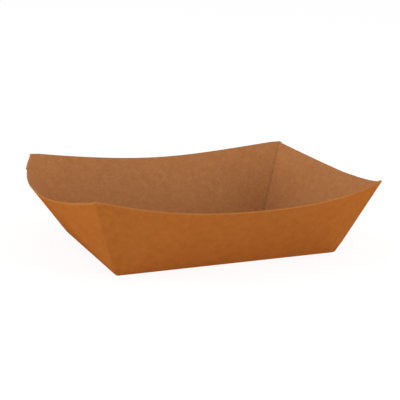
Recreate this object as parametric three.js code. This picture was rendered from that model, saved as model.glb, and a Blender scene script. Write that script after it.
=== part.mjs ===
// A food tray folded from one sheet of kraft board: a flat floor, four flared walls whose rims dip
// between the raised corners, and four corner webs. Each web is folded in two and lies glued against the
// outside of an end wall. Millimetres, +Z up, +X along the tray. The origin is the middle of the floor's
// underside.
import * as THREE from "three";

// The board and its folds
const boardThickness = 0.5;
const bendRadius = 0.4; // inside radius of a scored fold
const foldGap = 2; // a fold stops this far before the floor's corner
const webRise = 8; // length of a ruling over which a folded web grows to its full thickness
const grooveOpening = Math.PI / 6; // angle in the bottom of the groove inside a corner

// The outside of the floor, and the four corner points of the rim
const floorLength = 147;
const floorWidth = 93;
const cornerLength = 183;
const cornerWidth = 127.5;
const cornerHeight = 49.3;

// The middle of each rim, where the walls lean out furthest
const sideRimSpread = 148;
const sideRimHeight = 39.6;
const endRimSpread = 214;
const endRimHeight = 39.8;

// A wall is flat in its middle and curves in towards its corners, late and sharply with a high power
const flatShare = 0.1; // share of the rim that stays in the flat
const sideCurvePower = 2.65;
const endCurvePower = 1.9;

// How finely the curves are cut into facets
const bendSteps = 3;
const roundSteps = 3;
const wallSteps = 18;
const webSteps = 6;

const outerRadius = bendRadius + boardThickness;
const webThickness = 2 * boardThickness;
const floorCorner = new THREE.Vector3(floorLength / 2, floorWidth / 2, 0);
const tip = new THREE.Vector3(cornerLength / 2, cornerWidth / 2, cornerHeight);
const faces = {
  outer: { radius: outerRadius, depth: 0 },
  inner: { radius: bendRadius, depth: boardThickness },
};

// Evenly spaced values from start to end, both included
const spread = (start, end, steps) =>
  Array.from({ length: steps + 1 }, (_, i) => start + ((end - start) * i) / steps);

// One wall, in the quarter of the tray where X and Y are positive. u runs along its fold from the middle,
// out runs away from the tray, and place puts (u, out, z) into the tray's frame. Along the rim t goes from
// 0 in the middle to 1 at the corner point. All its bending is about straight lines, its rulings, that
// start at the end of the fold, because that is how paper can bend.
function makeWall({ foldHalf, foldOut, tipHalf, tipOut, rimOut, rimHeight, curvePower, place }) {
  const lean = (rimOut - foldOut) / rimHeight;
  const bendAngle = Math.PI / 2 - Math.atan(lean);
  const setback = outerRadius * Math.tan(bendAngle / 2);
  const pullIn = foldOut + lean * cornerHeight - tipOut;
  const outward = place(0, 1, -lean).normalize();

  const rim = (t) => {
    const z = rimHeight + (cornerHeight - rimHeight) * t * t;
    const curved = Math.max(0, (t - flatShare) / (1 - flatShare)) ** curvePower;
    return place(tipHalf * t, foldOut + lean * z - pullIn * curved, z);
  };

  const normal = (t) => {
    const tangentStep = 1e-4;
    const along = rim(t + tangentStep).sub(rim(t - tangentStep));
    const found = rim(t).sub(floorCorner).cross(along).normalize();
    return found.dot(outward) < 0 ? found.negate() : found;
  };

  // The bend between floor and wall, as points of an arc at u along the fold
  const bend = (u, radius) =>
    spread(0, bendAngle, bendSteps).map((angle) =>
      place(u, foldOut - setback + radius * Math.sin(angle), outerRadius - radius * Math.cos(angle)),
    );

  // The angle in the flat sheet between the rulings at two places of the rim
  const fanAngle = (from, to) => {
    const angleSteps = 200;
    const rulings = spread(from, to, angleSteps).map((t) => rim(t).sub(floorCorner));
    return rulings.slice(1).reduce((sum, ruling, i) => sum + ruling.angleTo(rulings[i]), 0);
  };

  // The angle in the flat sheet between the wall's fold and its corner edge
  const cornerAngle = rim(0).sub(floorCorner).angleTo(place(-1, 0, 0)) + fanAngle(0, 1);

  return { foldHalf, setback, rim, normal, bend, fanAngle, cornerAngle };
}

const sideWall = makeWall({
  foldHalf: floorLength / 2,
  foldOut: floorWidth / 2,
  tipHalf: cornerLength / 2,
  tipOut: cornerWidth / 2,
  rimOut: sideRimSpread / 2,
  rimHeight: sideRimHeight,
  curvePower: sideCurvePower,
  place: (u, out, z) => new THREE.Vector3(u, out, z),
});

const endWall = makeWall({
  foldHalf: floorWidth / 2,
  foldOut: floorLength / 2,
  tipHalf: cornerWidth / 2,
  tipOut: cornerLength / 2,
  rimOut: endRimSpread / 2,
  rimHeight: endRimHeight,
  curvePower: endCurvePower,
  place: (u, out, z) => new THREE.Vector3(out, u, z),
});

// What the floor and the two walls leave of the full turn round the floor's corner is the web. Folded in
// two, it covers half of that angle on the end wall. Its fold is the ruling at this place of the rim.
const webAngle = 2 * Math.PI - Math.PI / 2 - sideWall.cornerAngle - endWall.cornerAngle;
const webFoldAt = (() => {
  let [low, high] = [flatShare, 1];
  while (high - low > 1e-6) {
    const middle = (low + high) / 2;
    if (endWall.fanAngle(middle, 1) > webAngle / 2) low = middle;
    else high = middle;
  }
  return high;
})();

// A ruling is a line of points from the floor over the bend and up the wall to the rim. All have as many
// points. The web's are the end wall's, moved aside over all their length except for the foot.
function wallRuling(wall, t, face, move = new THREE.Vector3()) {
  const foldEnd = wall.foldHalf - foldGap;
  const bend = wall.bend(foldEnd * Math.min(1, t / flatShare), face.radius);
  const top = wall.rim(t).addScaledVector(wall.normal(t), -face.depth);
  return [...bend, alongRuling(bend.at(-1), top).add(move), top.add(move)];
}

function alongRuling(foot, top) {
  return foot.clone().lerp(top, webRise / foot.distanceTo(top));
}

// The corner edge in section, at one of its points, with a point of each wall beside it
function edgeSection(point, besideOnSide, besideOnEnd) {
  const edge = tip.clone().sub(floorCorner);
  const side = besideOnSide.clone().sub(point).cross(edge).normalize();
  const end = edge.clone().cross(besideOnEnd.clone().sub(point)).normalize();
  return { point, side, end, turn: side.angleTo(end) };
}

// The section's point, moved in by a depth from the side wall's outer face and one from the end wall's
function atDepths({ point, side, end }, sideDepth, endDepth) {
  const cosine = side.dot(end);
  const scale = -1 / (1 - cosine * cosine);
  return point
    .clone()
    .addScaledVector(side, scale * (sideDepth - cosine * endDepth))
    .addScaledVector(end, scale * (endDepth - cosine * sideDepth));
}

// A point on a round in the section. The angle is 0 towards the outside of the end wall, and the section's
// turn towards the outside of the side wall.
function onRound(section, centre, radius, angle) {
  const scale = radius / Math.sin(section.turn);
  return atDepths(section, ...centre)
    .addScaledVector(section.end, scale * Math.sin(section.turn - angle))
    .addScaledVector(section.side, scale * Math.sin(angle));
}

// A ruling of the folded web, lifted off the end wall and shifted along it, away from the corner
function webRuling(t, lift, shift) {
  const away = endWall.rim(t).sub(floorCorner).cross(endWall.normal(t)).normalize();
  if (away.y > 0) away.negate();
  const move = endWall.normal(t).multiplyScalar(lift).addScaledVector(away, shift);
  return wallRuling(endWall, t, faces.outer, move);
}

// Places of the rim from the middle up to end, which isn't the corner point itself unless closed is true
const placesTo = (end, steps) => [0, ...spread(flatShare, end, steps)];

// One quarter of the tray, from the middle of the end wall round the corner to the middle of the side wall,
// as pairs of rulings: one on the sheet's outer face and one on its inner face
function quarterTray() {
  const pairOnWall = (wall) => (t) => ({
    outer: wallRuling(wall, t, faces.outer),
    inner: wallRuling(wall, t, faces.inner),
  });
  const webPlaces = spread(webFoldAt, 1, webSteps).slice(1, -1);
  const webFold = spread(Math.PI, 0, 2 * roundSteps)
    .slice(1)
    .map((angle) => {
      const lift = boardThickness * (1 + Math.cos(angle));
      return {
        outer: webRuling(webFoldAt, lift, boardThickness * Math.sin(angle)),
        inner: wallRuling(endWall, webPlaces[0], faces.inner),
      };
    });
  const webFace = webPlaces.map((t) => ({
    outer: webRuling(t, webThickness, 0),
    inner: wallRuling(endWall, t, faces.inner),
  }));
  const sidePairs = placesTo(1, wallSteps).slice(0, -1).reverse().map(pairOnWall(sideWall));
  return [
    ...placesTo(webFoldAt, wallSteps - webSteps).map(pairOnWall(endWall)),
    ...webFold,
    ...webFace,
    ...cornerPairs(sidePairs[0].outer, wallRuling(endWall, webPlaces.at(-1), faces.outer)),
    ...sidePairs,
  ];
}

// At the corner the side wall turns over the end wall into the web, with a round outside. The end wall
// turns back into the web with a round edge, which leaves a narrow groove along the inside of the side wall.
function cornerPairs(sideNeighbour, endNeighbour) {
  const foot = floorCorner.clone().lerp(tip, outerRadius / floorCorner.distanceTo(tip));
  const sections = [foot, alongRuling(foot, tip), tip].map((point, i) =>
    edgeSection(point, sideNeighbour.at(i - 3), endNeighbour.at(i - 3)),
  );
  const outerRound = (share) => (section) => {
    const centre = [outerRadius, outerRadius - webThickness];
    return onRound(section, centre, outerRadius, share * section.turn);
  };
  const groove = (share) => (section) => {
    const angle = Math.PI + share * (section.turn + grooveOpening - Math.PI);
    return onRound(section, [webThickness, 0], boardThickness, angle);
  };
  const ruling = (face, pointIn) => {
    const start = new THREE.Vector3(
      floorLength / 2 - endWall.setback,
      floorWidth / 2 - sideWall.setback,
      face.depth,
    );
    const inset = atDepths(sections[0], face.depth, face.depth);
    return [start, ...Array(bendSteps).fill(inset), ...sections.slice(1).map(pointIn)];
  };
  return spread(0, 1, roundSteps).map((share) => ({
    outer: ruling(faces.outer, outerRound(share)),
    inner: ruling(faces.inner, groove(share)),
  }));
}

// The triangles of a strip between each line of points and the next one
function strip(lines) {
  return lines.slice(1).flatMap((b, j) => {
    const a = lines[j];
    return a.slice(1).flatMap((_, i) => [
      [a[i], b[i], b[i + 1]],
      [a[i], b[i + 1], a[i + 1]],
    ]);
  });
}

// The triangles of the floor's upper or lower face, from its middle to the rulings' first points
function floorFace(rulings) {
  const middle = new THREE.Vector3(0, 0, rulings[0][0].z);
  return rulings.slice(1).map((ruling, j) => [middle, rulings[j][0], ruling[0]]);
}

const turnedOver = (triangles) => triangles.map(([a, b, c]) => [a, c, b]);

// The quarter's triangles, and the same mirrored in X, in Y and in both
function inAllQuarters(triangles) {
  const mirrored = (x, y) =>
    triangles.map((corners) => corners.map((p) => new THREE.Vector3(x * p.x, y * p.y, p.z)));
  return [
    ...mirrored(1, 1),
    ...mirrored(-1, -1),
    ...turnedOver(mirrored(-1, 1)),
    ...turnedOver(mirrored(1, -1)),
  ];
}

function trayGeometry() {
  const pairs = quarterTray();
  const outer = pairs.map((pair) => pair.outer);
  const inner = pairs.map((pair) => pair.inner);
  const cutEdge = pairs.map((pair) => [pair.outer.at(-1), pair.inner.at(-1)]);
  const quarter = [
    ...strip(outer),
    ...turnedOver(strip(inner)),
    ...strip(cutEdge),
    ...turnedOver(floorFace(outer)),
    ...floorFace(inner),
  ].filter(([a, b, c]) => !a.equals(b) && !b.equals(c) && !c.equals(a));
  const geometry = new THREE.BufferGeometry().setFromPoints(inAllQuarters(quarter).flat());
  geometry.computeVertexNormals();
  return geometry;
}

const kraftBoard = new THREE.MeshStandardMaterial({ color: 0xa1622f, roughness: 0.75, metalness: 0 });

const tray = new THREE.Mesh(trayGeometry(), kraftBoard);
tray.name = "tray";

const foodTray = new THREE.Group();
foodTray.add(tray);

export default foodTray;
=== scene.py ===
"""A kraft board food tray on a white floor: one folded sheet with a smooth outside, a fibrous inside and
cut edges, under soft studio light. The sheet's lengths are in millimetres until its mesh is made."""
import math
from functools import cached_property

import bpy
import numpy as np
from mathutils import Matrix, Vector


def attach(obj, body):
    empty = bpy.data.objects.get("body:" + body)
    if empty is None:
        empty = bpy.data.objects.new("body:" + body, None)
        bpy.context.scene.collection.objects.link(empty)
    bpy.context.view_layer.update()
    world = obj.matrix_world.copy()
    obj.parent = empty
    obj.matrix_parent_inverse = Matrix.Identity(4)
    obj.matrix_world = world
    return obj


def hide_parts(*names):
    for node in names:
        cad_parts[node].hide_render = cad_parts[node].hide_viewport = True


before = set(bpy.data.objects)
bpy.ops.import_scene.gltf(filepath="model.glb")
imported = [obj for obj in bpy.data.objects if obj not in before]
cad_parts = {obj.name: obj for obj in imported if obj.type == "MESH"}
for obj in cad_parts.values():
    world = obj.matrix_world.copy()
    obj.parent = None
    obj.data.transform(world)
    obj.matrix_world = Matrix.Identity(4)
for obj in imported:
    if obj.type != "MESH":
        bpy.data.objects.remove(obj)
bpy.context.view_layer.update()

MM = 0.001

# The board and its folds, as in the CAD part
BOARD = 0.5
BEND_RADIUS = 0.4  # inside radius of a scored fold
OUTER_RADIUS = BEND_RADIUS + BOARD
FOLD_GAP = 2.0  # a fold stops this far before the floor's corner
WEB_RISE = 8.0  # length of a ruling over which a folded web grows to its full thickness
GROOVE_OPENING = math.pi / 6  # angle in the bottom of the groove inside a corner

# The tray, as in the CAD part: the floor's length and width, the place of a corner's tip, and how far
# out and how high each wall's rim is in its middle
FLOOR = np.array([147.0, 93.0])
TIP = np.array([91.5, 63.75, 49.3])
SIDE_RIM = (74.0, 39.6)
END_RIM = (107.0, 39.8)

# How the rims curve in towards the corners
FLAT_SHARE = 0.1  # share of the rim that stays in the flat
SIDE_POWER = 2.65
END_POWER = 1.9

# Where the last rulings stop short of the corner: on the side wall, and as a share of the web
LAST_PLACE = 0.95
WEB_END_GAP = 1 / 6

# How finely the visible sheet is cut into faces
BEND_STEPS = 5
ROUND_STEPS = 5
WALL_STEPS = 34
WEB_STEPS = 10
UP_STEPS = 10

# How far below the rim the outside carries a painted highlight, paler towards the rim
RIM_HIGHLIGHT_DEPTH = 1.3

# How exactly a wall's face, its angles and the web's fold are measured, and points are told apart
RIM_STEP = 1e-4
FAN_PARTS = 200
FOLD_TOLERANCE = 1e-5
POINTS_PER_MM = 1e4

# The least angle of a crease that is shaded as an edge
SHARP_ANGLE = math.radians(28)

# The photo's camera, fitted to the tray's corners, rims and folds: its direction from the tray, its
# roll, its place in metres back, right and up as it looks, and its lens in millimetres
CAMERA_AZIMUTH = math.radians(-26.012)
CAMERA_ELEVATION = math.radians(14.688)
CAMERA_ROLL = math.radians(2.632)
CAMERA_BACK = 0.63035
CAMERA_RIGHT = 0.00115
CAMERA_UP = 0.02678
CAMERA_LENS = 88.1

# Light: the world's level for everything but direct sight, the point in metres that the lamps face,
# and each lamp's name, place, size and watts
AMBIENT = 0.63
LAMP_AIM = (0, 0, 0.02)
LAMPS = (
    ("key", (-0.4, -1.6, 0.5), 0.9, 6.3),
    ("right", (1.3, -1.0, 0.45), 1.2, 11.8),
    ("left", (-1.6, 0.4, 0.36), 0.7, 14.6),
)

# What the tray stands on: half its width, how far it lies below the tray, and its colour. Seen directly,
# it shows this share of a glow of this strength.
STAGE_HALF = 8.0
STAGE_DROP = 0.0002
STAGE_WHITE = 0.92
STAGE_GLOW = 1.08
STAGE_GLOW_SHARE = 0.82

CORNER = np.array([FLOOR[0] / 2, FLOOR[1] / 2, 0.0])
EDGE = TIP - CORNER

OUTSIDE, INSIDE, CUT = 0, 1, 2


def unit(v):
    return v / np.linalg.norm(v)


def angle_between(a, b):
    return math.acos(float(np.clip(np.dot(unit(a), unit(b)), -1, 1)))


def lerp(a, b, share):
    return a + (b - a) * share


class Wall:
    """One wall in the quarter where X and Y are positive, a fan of rulings from near the floor's corner.

    place(u, out, z) gives a point: u along the wall's fold, out away from the tray's middle, z up.
    t runs along the rim, from 0 at the wall's middle to 1 at the tip."""

    def __init__(self, fold_half, fold_out, tip_half, tip_out, rim, power, place):
        self.fold_half, self.fold_out = fold_half, fold_out
        self.tip_half, self.power, self.place = tip_half, power, place
        rim_out, self.rim_height = rim
        self.lean = (rim_out - fold_out) / self.rim_height
        self.bend_angle = math.pi / 2 - math.atan(self.lean)
        self.setback = OUTER_RADIUS * math.tan(self.bend_angle / 2)
        self.pull_in = fold_out + self.lean * TIP[2] - tip_out
        self.outward = unit(place(0, 1, -self.lean))

    def rim(self, t):
        z = self.rim_height + (TIP[2] - self.rim_height) * t * t
        curved = max(0.0, (t - FLAT_SHARE) / (1 - FLAT_SHARE)) ** self.power
        return self.place(self.tip_half * t, self.fold_out + self.lean * z - self.pull_in * curved, z)

    def normal(self, t):
        along = self.rim(t + RIM_STEP) - self.rim(t - RIM_STEP)
        found = unit(np.cross(self.rim(t) - CORNER, along))
        return -found if found @ self.outward < 0 else found

    def bend(self, u, radius):
        """The bend between floor and wall at u, from the floor up, on a face with this radius."""
        return [
            self.place(
                u,
                self.fold_out - self.setback + radius * math.sin(angle),
                OUTER_RADIUS - radius * math.cos(angle),
            )
            for angle in np.linspace(0, self.bend_angle, BEND_STEPS + 1)
        ]

    def fan_angle(self, start, end):
        """The angle at the floor's corner between two places on the rim, in the flat sheet."""
        rulings = [self.rim(t) - CORNER for t in np.linspace(start, end, FAN_PARTS + 1)]
        return sum(angle_between(a, b) for a, b in zip(rulings, rulings[1:]))

    def corner_angle(self):
        """The angle at the floor's corner between the wall's fold and its corner edge."""
        return angle_between(self.rim(0) - CORNER, self.place(-1, 0, 0)) + self.fan_angle(0, 1)


side_wall = Wall(
    fold_half=FLOOR[0] / 2,
    fold_out=FLOOR[1] / 2,
    tip_half=TIP[0],
    tip_out=TIP[1],
    rim=SIDE_RIM,
    power=SIDE_POWER,
    place=lambda u, out, z: np.array([u, out, z]),
)
end_wall = Wall(
    fold_half=FLOOR[1] / 2,
    fold_out=FLOOR[0] / 2,
    tip_half=TIP[1],
    tip_out=TIP[0],
    rim=END_RIM,
    power=END_POWER,
    place=lambda u, out, z: np.array([out, u, z]),
)


def find_web_fold():
    """The place on the end wall's rim where the web turns over: half its angle away from the tip."""
    web_angle = 1.5 * math.pi - side_wall.corner_angle() - end_wall.corner_angle()
    low, high = FLAT_SHARE, 1.0
    while high - low > FOLD_TOLERANCE:
        middle = (low + high) / 2
        if end_wall.fan_angle(middle, 1) > web_angle / 2:
            low = middle
        else:
            high = middle
    return high


web_fold = find_web_fold()


def climb(knee, top):
    """The points of a ruling above its bend: evenly up from the knee, the row where the painted rim highlight
    starts, and the rim.
    """
    rim_highlight = 1 - RIM_HIGHLIGHT_DEPTH / np.linalg.norm(top - knee)
    return [lerp(knee, top, share) for share in (*np.linspace(0, 1, UP_STEPS, endpoint=False), rim_highlight, 1)]


def wall_ruling(wall, t, depth, move=(0.0, 0.0, 0.0)):
    """A ruling at this depth in the board: bend, knee, the painted rim highlight's row and rim, with all
    above the bend moved.
    """
    bend = wall.bend((wall.fold_half - FOLD_GAP) * min(1, t / FLAT_SHARE), OUTER_RADIUS - depth)
    top = wall.rim(t) - wall.normal(t) * depth
    knee = lerp(bend[-1], top, WEB_RISE / np.linalg.norm(top - bend[-1]))
    return bend + climb(knee + move, top + move)


def web_ruling(t, lift, shift):
    """A ruling of the web that lies on the end wall, lifted off it and shifted to the wall's middle."""
    away = unit(np.cross(end_wall.rim(t) - CORNER, end_wall.normal(t)))
    if away[1] > 0:
        away = -away
    return wall_ruling(end_wall, t, 0, end_wall.normal(t) * lift + away * shift)


class EdgeSection:
    """The corner edge in section at one of its points, with a point of each wall beside it."""

    def __init__(self, point, beside_on_side, beside_on_end):
        self.point = point
        self.side = unit(np.cross(beside_on_side - point, EDGE))
        self.end = unit(np.cross(EDGE, beside_on_end - point))
        self.turn = angle_between(self.side, self.end)

    def at_depths(self, side_depth, end_depth):
        """The point this deep below the side wall's and the end wall's outside."""
        cosine = float(self.side @ self.end)
        scale = -1 / (1 - cosine * cosine)
        return (
            self.point
            + self.side * scale * (side_depth - cosine * end_depth)
            + self.end * scale * (end_depth - cosine * side_depth)
        )

    def on_round(self, centre, radius, angle):
        """A point round a centre given by its depths: 0 faces as the end wall, the turn as the side."""
        scale = radius / math.sin(self.turn)
        return (
            self.at_depths(*centre)
            + self.end * scale * math.sin(self.turn - angle)
            + self.side * scale * math.sin(angle)
        )


def corner_pairs(side_neighbour, end_neighbour):
    """The rulings where the sheet wraps round the corner edge, and the groove inside it."""
    foot = lerp(CORNER, TIP, OUTER_RADIUS / np.linalg.norm(EDGE))
    knee = lerp(foot, TIP, WEB_RISE / np.linalg.norm(TIP - foot))
    foot_place, knee_place, rim_place = BEND_STEPS, BEND_STEPS + 1, -1
    sections = [
        EdgeSection(point, side_neighbour[i], end_neighbour[i])
        for point, i in ((foot, foot_place), (knee, knee_place), (TIP, rim_place))
    ]

    def ruling(depth, centre, radius, angle_in):
        start = np.array([CORNER[0] - end_wall.setback, CORNER[1] - side_wall.setback, depth])
        inset = sections[0].at_depths(depth, depth)
        knee_point, rim_point = (s.on_round(centre, radius, angle_in(s)) for s in sections[1:])
        return [start] + [inset] * BEND_STEPS + climb(knee_point, rim_point)

    pairs = []
    for share in np.linspace(0, 1, ROUND_STEPS + 1):
        outer = ruling(
            0, (OUTER_RADIUS, OUTER_RADIUS - 2 * BOARD), OUTER_RADIUS, lambda s, k=share: k * s.turn
        )
        inner = ruling(
            BOARD, (2 * BOARD, 0), BOARD, lambda s, k=share: math.pi + k * (s.turn + GROOVE_OPENING - math.pi)
        )
        pairs.append((outer, inner))
    return pairs


def quarter_pairs():
    """Outer and inner rulings from the middle of the end wall round the corner to the side wall's middle."""

    def on_wall(wall, t):
        return wall_ruling(wall, t, 0), wall_ruling(wall, t, BOARD)

    web_end = 1 - (1 - web_fold) * WEB_END_GAP
    web_places = np.linspace(web_fold, web_end, WEB_STEPS + 1)[1:]
    end_places = [0.0, *np.linspace(FLAT_SHARE, web_fold, WALL_STEPS - WEB_STEPS)]
    side_places = [0.0, *np.linspace(FLAT_SHARE, LAST_PLACE, WALL_STEPS)]

    pairs = [on_wall(end_wall, t) for t in end_places]
    for angle in np.linspace(math.pi, 0, 2 * ROUND_STEPS + 1)[1:]:
        lift, shift = BOARD * (1 + math.cos(angle)), BOARD * math.sin(angle)
        pairs.append((web_ruling(web_fold, lift, shift), wall_ruling(end_wall, web_places[0], BOARD)))
    pairs += [(web_ruling(t, 2 * BOARD, 0), wall_ruling(end_wall, t, BOARD)) for t in web_places]
    side = [on_wall(side_wall, t) for t in reversed(side_places)]
    pairs += corner_pairs(side[0][0], wall_ruling(end_wall, web_places[-1], 0))
    return pairs + side


def strip(lines):
    for a, b in zip(lines, lines[1:]):
        for i in range(len(a) - 1):
            yield [a[i], b[i], b[i + 1], a[i + 1]]


def quarter_faces():
    """Each face of the quarter as its corners and its material: skin by skin, the rim, then the floor."""
    pairs = quarter_pairs()
    outer = [pair[0] for pair in pairs]
    inner = [pair[1] for pair in pairs]
    faces = [(face, OUTSIDE) for face in strip(outer)]
    faces += [(face[::-1], INSIDE) for face in strip(inner)]
    faces += [(face, CUT) for face in strip([[a[-1], b[-1]] for a, b in pairs])]
    middle_below, middle_above = np.zeros(3), np.array([0.0, 0.0, BOARD])
    faces += [([b[0], a[0], middle_below], OUTSIDE) for a, b in zip(outer, outer[1:])]
    faces += [([a[0], b[0], middle_above], INSIDE) for a, b in zip(inner, inner[1:])]
    return faces


def build_sheet_mesh():
    """All four quarters as one mesh, each point made once. Its attribute, the mask of a painted highlight, is
    1 at the rim and 0 elsewhere.
    """
    index, points, polygons, slots = {}, [], [], []
    for face, slot in quarter_faces():
        for x, y in ((1, 1), (-1, -1), (-1, 1), (1, -1)):
            corners = [np.array([x, y, 1]) * p for p in face]
            if x * y < 0:
                corners.reverse()
            ids = []
            for p in corners:
                key = tuple(int(round(c * POINTS_PER_MM)) for c in p)
                if key not in index:
                    index[key] = len(points)
                    points.append(Vector(p) * MM)
                if index[key] not in ids:
                    ids.append(index[key])
            if len(ids) >= 3:
                polygons.append(ids)
                slots.append(slot)
    mesh = bpy.data.meshes.new("tray_sheet")
    mesh.from_pydata(points, [], polygons)
    for polygon, slot in zip(mesh.polygons, slots):
        polygon.material_index = slot
        polygon.use_smooth = slot != CUT
    rim = {i for ids, slot in zip(polygons, slots) if slot == CUT for i in ids}
    rim_highlight = mesh.attributes.new("rim_highlight", "FLOAT", "POINT")
    rim_highlight.data.foreach_set("value", [float(i in rim) for i in range(len(points))])
    mesh.validate()
    mesh.update()
    return mesh


def mark_sharp_edges(mesh):
    """Mark each edge between two materials as sharp, and each crease of more than SHARP_ANGLE."""
    sharp = [False] * len(mesh.edges)
    faces_at = {}
    for polygon in mesh.polygons:
        for key in polygon.edge_keys:
            faces_at.setdefault(key, []).append(polygon)
    for edge in mesh.edges:
        around = faces_at[tuple(sorted(edge.vertices))]
        if len(around) == 2:
            a, b = around
            creased = a.normal.angle(b.normal, 0) > SHARP_ANGLE
            sharp[edge.index] = a.material_index != b.material_index or creased
    mesh.edges.foreach_set("use_edge_sharp", sharp)


def srgb(r, g, b):
    """An 8-bit screen colour as the linear colour that shader sockets take."""

    def linear(c):
        c /= 255
        return c / 12.92 if c <= 0.04045 else ((c + 0.055) / 1.055) ** 2.4

    return (linear(r), linear(g), linear(b), 1.0)


class Nodes:
    """A material's node tree, with short calls to add and link nodes."""

    def __init__(self, name):
        self.material = bpy.data.materials.new(name)
        self.material.use_nodes = True
        self.tree = self.material.node_tree
        self.shader = self.tree.nodes["Principled BSDF"]

    def add(self, kind, **settings):
        node = self.tree.nodes.new(kind)
        for key, value in settings.items():
            setattr(node, key, value)
        return node

    def link(self, start, end):
        self.tree.links.new(start, end)

    @cached_property
    def coordinates(self):
        return self.add("ShaderNodeTexCoord").outputs["Object"]

    def noise(self, scale, detail, roughness, stretch=(1, 1, 1), distortion=0.0):
        mapping = self.add("ShaderNodeMapping")
        mapping.inputs["Scale"].default_value = stretch
        self.link(self.coordinates, mapping.inputs["Vector"])
        node = self.add("ShaderNodeTexNoise")
        node.inputs["Scale"].default_value = scale
        node.inputs["Detail"].default_value = detail
        node.inputs["Roughness"].default_value = roughness
        node.inputs["Distortion"].default_value = distortion
        self.link(mapping.outputs["Vector"], node.inputs["Vector"])
        return node.outputs["Fac"]

    def remap(self, value, low, high, to_low, to_high):
        node = self.add("ShaderNodeMapRange")
        node.inputs["From Min"].default_value = low
        node.inputs["From Max"].default_value = high
        node.inputs["To Min"].default_value = to_low
        node.inputs["To Max"].default_value = to_high
        self.link(value, node.inputs["Value"])
        return node.outputs["Result"]

    def mix(self, share, a, b):
        """Mix two colours. Each input is a socket, or a constant set on the node."""
        share_socket, a_socket, b_socket, result_socket = 0, 6, 7, 2
        node = self.add("ShaderNodeMix", data_type="RGBA")
        for socket, value in ((share_socket, share), (a_socket, a), (b_socket, b)):
            if isinstance(value, (tuple, float)):
                node.inputs[socket].default_value = value
            else:
                self.link(value, node.inputs[socket])
        return node.outputs[result_socket]

    def bump(self, height, strength, distance, before=None):
        node = self.add("ShaderNodeBump")
        node.inputs["Strength"].default_value = strength
        node.inputs["Distance"].default_value = distance
        self.link(height, node.inputs["Height"])
        if before is not None:
            self.link(before, node.inputs["Normal"])
        return node.outputs["Normal"]


def kraft(name, base, dark, light, clouding, speckle, roughness, relief, specular, rim_highlight=None):
    """Kraft board: cloudy formation, fine fibres along X and specks, with a matching relief.

    clouding and speckle say how strongly dark and light show over base, and relief is the fibres' height in
    metres. The rim colour, if given, is a painted highlight that fades in below the rim."""
    n = Nodes(name)
    cloud = n.noise(scale=210, detail=4, roughness=0.6)
    fibre = n.noise(scale=900, detail=5, roughness=0.65, stretch=(0.5, 1, 1), distortion=0.4)
    speck = n.noise(scale=620, detail=2, roughness=0.7)

    colour = n.mix(n.remap(cloud, 0.3, 0.7, 0.0, 1.0), dark, light)
    colour = n.mix(clouding, base, colour)
    colour = n.mix(n.remap(fibre, 0.35, 0.65, 0.0, speckle), colour, dark)
    colour = n.mix(n.remap(speck, 0.5, 0.72, 0.0, speckle * 0.8), colour, light)
    # Painted highlight: a paler colour below the rim, standing in for light catching the rim
    if rim_highlight is not None:
        rim_highlight_share = n.add("ShaderNodeAttribute", attribute_name="rim_highlight").outputs["Fac"]
        colour = n.mix(rim_highlight_share, colour, rim_highlight)
    n.link(colour, n.shader.inputs["Base Color"])

    gloss = n.remap(fibre, 0.3, 0.7, roughness - 0.05, roughness + 0.05)
    n.link(gloss, n.shader.inputs["Roughness"])
    n.shader.inputs["Specular IOR Level"].default_value = specular

    fibres_stand = n.bump(fibre, strength=0.5, distance=relief)
    clouds_stand = n.bump(cloud, strength=0.3, distance=relief * 4, before=fibres_stand)
    n.link(clouds_stand, n.shader.inputs["Normal"])
    return n.material


def make_materials():
    """The three faces of the board, in the order of OUTSIDE, INSIDE and CUT."""
    outside = kraft(
        "kraft_outside",
        base=srgb(167, 98, 42),
        dark=srgb(159, 91, 37),
        light=srgb(175, 105, 47),
        clouding=0.75,
        speckle=0.45,
        roughness=0.7,
        relief=0.00003,
        specular=0.0,
        # painted highlight along the rim
        rim_highlight=srgb(175, 107, 52),
    )
    inside = kraft(
        "kraft_inside",
        base=srgb(172, 115, 69),
        dark=srgb(157, 101, 58),
        light=srgb(184, 128, 80),
        clouding=0.42,
        speckle=0.54,
        roughness=0.85,
        relief=0.00006,
        specular=0.1,
    )
    cut = kraft(
        "kraft_cut_edge",
        base=srgb(181, 116, 61),
        dark=srgb(171, 106, 53),
        light=srgb(191, 126, 71),
        clouding=0.4,
        speckle=0.5,
        roughness=0.9,
        relief=0.00008,
        specular=0.0,
    )
    return [outside, inside, cut]


def add_object(name, data):
    thing = bpy.data.objects.new(name, data)
    bpy.context.scene.collection.objects.link(thing)
    return thing


def make_tray():
    mesh = build_sheet_mesh()
    mark_sharp_edges(mesh)
    tray = add_object("tray_sheet", mesh)
    for material in make_materials():
        mesh.materials.append(material)
    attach(tray, "root")
    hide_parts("tray")


def make_camera():
    """A camera turned to the tray's origin and rolled, then moved right and up to the photo's framing."""
    level = math.cos(CAMERA_ELEVATION)
    back = Vector(
        (math.sin(CAMERA_AZIMUTH) * level, -math.cos(CAMERA_AZIMUTH) * level, math.sin(CAMERA_ELEVATION))
    )
    right = Vector((math.cos(CAMERA_AZIMUTH), math.sin(CAMERA_AZIMUTH), 0))
    up = back.cross(right)
    right, up = (
        math.cos(CAMERA_ROLL) * right + math.sin(CAMERA_ROLL) * up,
        math.cos(CAMERA_ROLL) * up - math.sin(CAMERA_ROLL) * right,
    )
    data = bpy.data.cameras.new("camera")
    data.sensor_width = 36
    data.lens = CAMERA_LENS
    data.clip_start = 0.01
    data.clip_end = 100
    camera = add_object("camera", data)
    place = Matrix((right, up, back)).transposed().to_4x4()
    place.translation = back * CAMERA_BACK + right * CAMERA_RIGHT + up * CAMERA_UP
    camera.matrix_world = place
    bpy.context.scene.camera = camera


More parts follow.
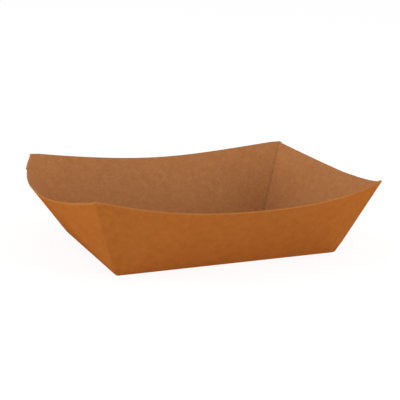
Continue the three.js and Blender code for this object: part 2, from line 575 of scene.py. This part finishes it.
def seen_directly(tree):
    """1 for rays that show the background itself: from the camera, a reflection or through glass."""
    path = tree.nodes.new("ShaderNodeLightPath")
    found = path.outputs["Is Camera Ray"]
    for name in ("Is Glossy Ray", "Is Transmission Ray"):
        larger = tree.nodes.new("ShaderNodeMath")
        larger.operation = "MAXIMUM"
        tree.links.new(found, larger.inputs[0])
        tree.links.new(path.outputs[name], larger.inputs[1])
        found = larger.outputs[0]
    return found


def make_world():
    """White where it is seen, and a plain soft light at the ambient level for the rest."""
    world = bpy.data.worlds.new("world")
    bpy.context.scene.world = world
    world.use_nodes = True
    tree = world.node_tree
    background = tree.nodes["Background"]
    background.inputs["Color"].default_value = (1, 1, 1, 1)
    level = tree.nodes.new("ShaderNodeMapRange")
    level.inputs["To Min"].default_value = AMBIENT
    level.inputs["To Max"].default_value = 1.0
    tree.links.new(seen_directly(tree), level.inputs["Value"])
    tree.links.new(level.outputs["Result"], background.inputs["Strength"])


def make_floor():
    """The pale floor. Its glow reaches only direct sight, and the rest of it keeps the tray's shadow."""
    half = STAGE_HALF
    corners = [(-half, -half), (half, -half), (half, half), (-half, half)]
    mesh = bpy.data.meshes.new("floor")
    mesh.from_pydata([(x, y, -STAGE_DROP) for x, y in corners], [], [(0, 1, 2, 3)])
    floor = add_object("floor", mesh)
    n = Nodes("floor_white")
    n.shader.inputs["Base Color"].default_value = (STAGE_WHITE, STAGE_WHITE, STAGE_WHITE, 1)
    n.shader.inputs["Roughness"].default_value = 1.0
    n.shader.inputs["Specular IOR Level"].default_value = 0.0
    glow = n.add("ShaderNodeEmission")
    glow.inputs["Color"].default_value = (1, 1, 1, 1)
    glow.inputs["Strength"].default_value = STAGE_GLOW
    share = n.add("ShaderNodeMath", operation="MULTIPLY")
    share.inputs[1].default_value = STAGE_GLOW_SHARE
    n.link(seen_directly(n.tree), share.inputs[0])
    mix = n.add("ShaderNodeMixShader")
    n.link(share.outputs[0], mix.inputs[0])
    n.link(n.shader.outputs[0], mix.inputs[1])
    n.link(glow.outputs[0], mix.inputs[2])
    n.link(mix.outputs[0], n.tree.nodes["Material Output"].inputs["Surface"])
    mesh.materials.append(n.material)


def make_lamp(name, place, size, power):
    data = bpy.data.lights.new(name, "AREA")
    data.shape = "DISK"
    data.size = size
    data.energy = power
    lamp = add_object(name, data)
    lamp.location = place
    lamp.rotation_euler = (Vector(LAMP_AIM) - Vector(place)).to_track_quat("-Z", "Y").to_euler()


bpy.context.scene.view_settings.view_transform = "Standard"
make_camera()
make_world()
make_floor()
for lamp in LAMPS:
    make_lamp(*lamp)
make_tray()
